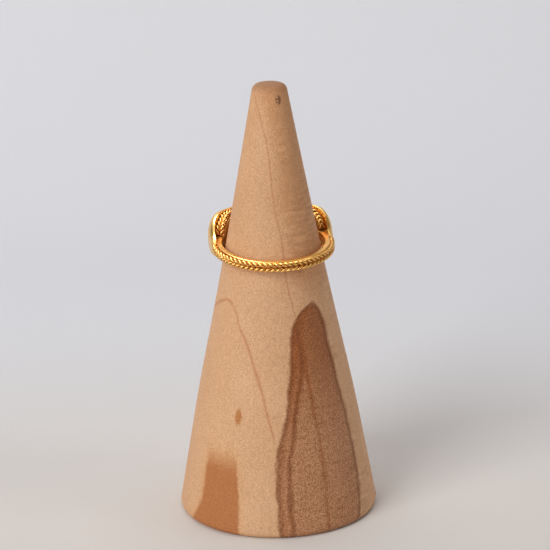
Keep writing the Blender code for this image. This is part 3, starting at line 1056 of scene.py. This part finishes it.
# %% Growth lines, patch, fleck and knot
ARCH_LINE = ((-84.0, 34.8), (-71.0, 36.1), (-62.0, 36.8), (-50.0, 37.1), (-40.0, 35.5), (-34.0, 33.3),
             (-25.0, 30.7), (-18.0, 27.4), (-12.5, 24.6), (-8.0, 21.2), (-3.5, 17.4), (-1.0, 15.4))
UPPER_LINE = ((-41.4, 68.5), (-23.4, 65.9), (-11.1, 63.3), (-4.7, 60.7), (-1.3, 58.3), (1.8, 54.0),
              (7.0, 50.3), (11.2, 47.1), (14.1, 40.3), (17.0, 37.6), (20.0, 35.0))
PATCH_LEFT = ((-59.9, 0.9), (-58.3, 1.8), (-53.7, 4.2), (-53.0, 7.6), (-52.0, 11.7))
PATCH_RIGHT = ((-24.2, 1.5), (-25.1, 6.0), (-26.4, 10.2), (-29.0, 13.0))
FLECK = (-28.5, 19.35)
FLECK_HALF = (0.55, 1.35)
KNOT = (26.3, 69.2)
KNOT_HALF = (0.50, 0.95)
SPOT_EDGE = (1.5, 0.4)


def spot(place, half):
    """1 inside a small upright oval, from its place (degrees, height) and its half width and half height."""
    across = calc(tree, "MULTIPLY", calc(tree, "SUBTRACT", wavering_angle, place[0]), degrees_to_mm)
    across = calc(tree, "DIVIDE", across, half[0])
    upward = calc(tree, "DIVIDE", calc(tree, "SUBTRACT", z_mm, place[1]), half[1])
    return ease(tree, calc(tree, "ADD", calc(tree, "MULTIPLY", across, across),
                           calc(tree, "MULTIPLY", upward, upward)), *SPOT_EDGE)


angle_share = calc(tree, "MULTIPLY_ADD", calc(tree, "MULTIPLY_ADD", waver, 2.0, angle_deg), 1 / 180, 0.5)
arch_rows = [((angle + 90) / 180, height / HEIGHT_MM) for angle, height in ARCH_LINE]
arch_height = calc(tree, "MULTIPLY", drawn_curve(angle_share, arch_rows), HEIGHT_MM)
arch_steepness = calc(tree, "MULTIPLY_ADD", ease(tree, angle_deg, -48.0, -12.0), -0.68, 1.0)
arch_distance = calc(tree, "MULTIPLY", calc(tree, "SUBTRACT", z_mm, arch_height), arch_steepness)
arch = both(line_at(arch_distance, 0.46), ease(tree, angle_deg, -1.0, -3.0),
            ease(tree, angle_deg, -92.0, -82.0))
upper_line = both(line_at(mm_past(edge_angle(UPPER_LINE)), 0.24), ease(tree, z_mm, 33.0, 36.0))
toast = both(ease(tree, mm_past(edge_angle(UPPER_LINE)), 0.0, 2.2), ease(tree, z_mm, 34.0, 46.0),
             ease(tree, angle_deg, 100.0, 70.0))
patch_sides = both(ease(tree, mm_past(edge_angle(PATCH_LEFT)), -0.5, 0.6),
                   ease(tree, mm_past(edge_angle(PATCH_RIGHT)), 0.35, -0.35))
patch = both(patch_sides, ease(tree, wavering_height, 14.2, 9.8))
halo = both(ease(tree, mm_past(edge_angle(PATCH_LEFT)), -1.2, 0.0),
            ease(tree, mm_past(edge_angle(PATCH_RIGHT)), 1.6, -0.2), ease(tree, z_mm, 16.0, 11.0))
fleck = spot(FLECK, FLECK_HALF)
# A knot is never a clean oval, so a noise eats into its shape.
knot = both(spot(KNOT, KNOT_HALF), ease(tree, noise(tree, in_mm, 2.2, 2.0), 0.32, 0.62))
print("the lines and spots are drawn,", len(tree.nodes), "nodes so far")

# %% Speckle, fibres, cross figure and growth rings
# Each noise is stretched along its grain, then told its features per mm, its detail and its roughness.
speckle = calc(tree, "SUBTRACT", noise(tree, stretched(tree, in_mm, (1.0, 1.0, 0.8)), 5.0, 3.0, 0.72), 0.5)
fibre = calc(tree, "SUBTRACT", noise(tree, stretched(tree, in_mm, (1.0, 1.0, 0.07)), 2.6, 4.0, 0.6), 0.5)
cloud = calc(tree, "SUBTRACT", noise(tree, in_mm, 0.12, 2.0), 0.5)
dashes = noise(tree, stretched(tree, in_mm, (0.30, 0.30, 1.6)), 1.0, 3.0, 0.55)
dash_patches = ease(tree, noise(tree, stretched(tree, in_mm, (1.0, 1.0, 0.5)), 0.22, 1.0), 0.38, 0.62)
ripple_zone = both(ease(tree, angle_deg, 0.0, 26.0), ease(tree, angle_deg, 120.0, 85.0))
ripple = both(calc(tree, "SUBTRACT", dashes, 0.5), ripple_zone, dash_patches)
# Growth rings run round a pith far outside the block, and show faintly on the sides that the photo hides.
PITH = (-48.0, 62.0)
RING_SPACING = 5.2
pith_x = calc(tree, "SUBTRACT", x_mm, PITH[0])
pith_y = calc(tree, "SUBTRACT", y_mm, PITH[1])
pith_distance = calc(tree, "SQRT", calc(tree, "ADD", calc(tree, "MULTIPLY", pith_x, pith_x),
                                        calc(tree, "MULTIPLY", pith_y, pith_y)))
pith_distance = calc(tree, "MULTIPLY_ADD", waver, 1.6, pith_distance)
ring_phase = calc(tree, "PINGPONG", pith_distance, RING_SPACING)
hidden_side = ease(tree, calc(tree, "ABSOLUTE", angle_deg), 84.0, 104.0)
growth = both(ease(tree, ring_phase, 0.55, 0.0), hidden_side)
print("the grain is drawn,", len(tree.nodes), "nodes so far")

# %% Put the wood together
PALE_WOOD = colour(217, 171, 131)
WARM_WOOD = colour(205, 156, 114)
HEART_WOOD = colour(153, 89, 47)
LINE_WOOD = colour(180, 102, 62)
PATCH_WOOD = colour(176, 108, 58)
DARK_WOOD = colour(108, 58, 30)
KNOT_WOOD = colour(104, 56, 34)
HALO_WOOD = colour(214, 160, 108)
FLECK_WOOD = colour(184, 118, 62)
END_WOOD = colour(152, 104, 70)
TOAST_WOOD = colour(196, 136, 88)
# The wood is painted a little browner above the ring than below it: painted shade against the extra light
# that the overhead lamp throws on the top.
tone_and_top_shade = calc(tree, "MULTIPLY_ADD", ease(tree, z_mm, 44.0, 54.0), 0.25, 0.35)
shade = blend(tree, calc(tree, "MULTIPLY_ADD", cloud, 1.3, tone_and_top_shade), PALE_WOOD, WARM_WOOD)
tip_end = ease(tree, z_mm, HEIGHT_MM - 1.5, HEIGHT_MM - 0.1)
for mask, strength, wood_colour in (
    (halo, 0.55, HALO_WOOD),
    (patch, 0.90, PATCH_WOOD),
    (fleck, 0.90, FLECK_WOOD),
    (arch, 0.50, LINE_WOOD),
    (growth, 0.28, LINE_WOOD),
    (toast, 0.50, TOAST_WOOD),
    (heart_depth, 1.00, HEART_WOOD),
    (both(dark_lines, heart), 0.46, DARK_WOOD),
    (knot, 0.90, KNOT_WOOD),
    (upper_line, 0.45, LINE_WOOD),
    (tip_end, 0.60, END_WOOD),
):
    shade = blend(tree, calc(tree, "MULTIPLY", mask, strength), shade, wood_colour)
SPECKLE_PALE = 1.45
SPECKLE_HEART = 2.3
FIBRE_TONE = 0.24
RIPPLE_TONE = 0.95
speckled = calc(tree, "MULTIPLY_ADD", heart, SPECKLE_HEART, SPECKLE_PALE)
tone = calc(tree, "MULTIPLY_ADD", speckle, speckled, 1.0)
tone = calc(tree, "MULTIPLY_ADD", fibre, FIBRE_TONE, tone)
tone = calc(tree, "MULTIPLY_ADD", ripple, RIPPLE_TONE, tone)
# A darker grain is also redder, so the blue part falls faster than the red part.
RED_POWER = 0.75
BLUE_POWER = 1.30
warm_tone = add(tree, "ShaderNodeCombineXYZ", X=calc(tree, "POWER", tone, RED_POWER), Y=tone,
                Z=calc(tree, "POWER", tone, BLUE_POWER))
toned = tree.nodes.new("ShaderNodeVectorMath")
toned.operation = "MULTIPLY"
plug(tree, toned.inputs[0], shade)
plug(tree, toned.inputs[1], warm_tone.outputs[0])
plug(tree, wood_shader.inputs["Base Color"], toned.outputs[0])
WOOD_ROUGHNESS = 0.62
WOOD_SHEEN = 0.30
RELIEF_STRENGTH = 0.35
RELIEF_DEPTH = 0.05 * MM
plug(tree, wood_shader.inputs["Roughness"], calc(tree, "MULTIPLY_ADD", fibre, 0.25, WOOD_ROUGHNESS))
wood_shader.inputs["Specular IOR Level"].default_value = WOOD_SHEEN
relief = calc(tree, "MULTIPLY_ADD", fibre, 0.6, speckle)
wood_bump = add(tree, "ShaderNodeBump", Height=relief, Strength=RELIEF_STRENGTH, Distance=RELIEF_DEPTH)
plug(tree, wood_shader.inputs["Normal"], wood_bump.outputs[0])
cone.data.materials.append(wood)
print("turned_wood has", len(tree.nodes), "nodes")
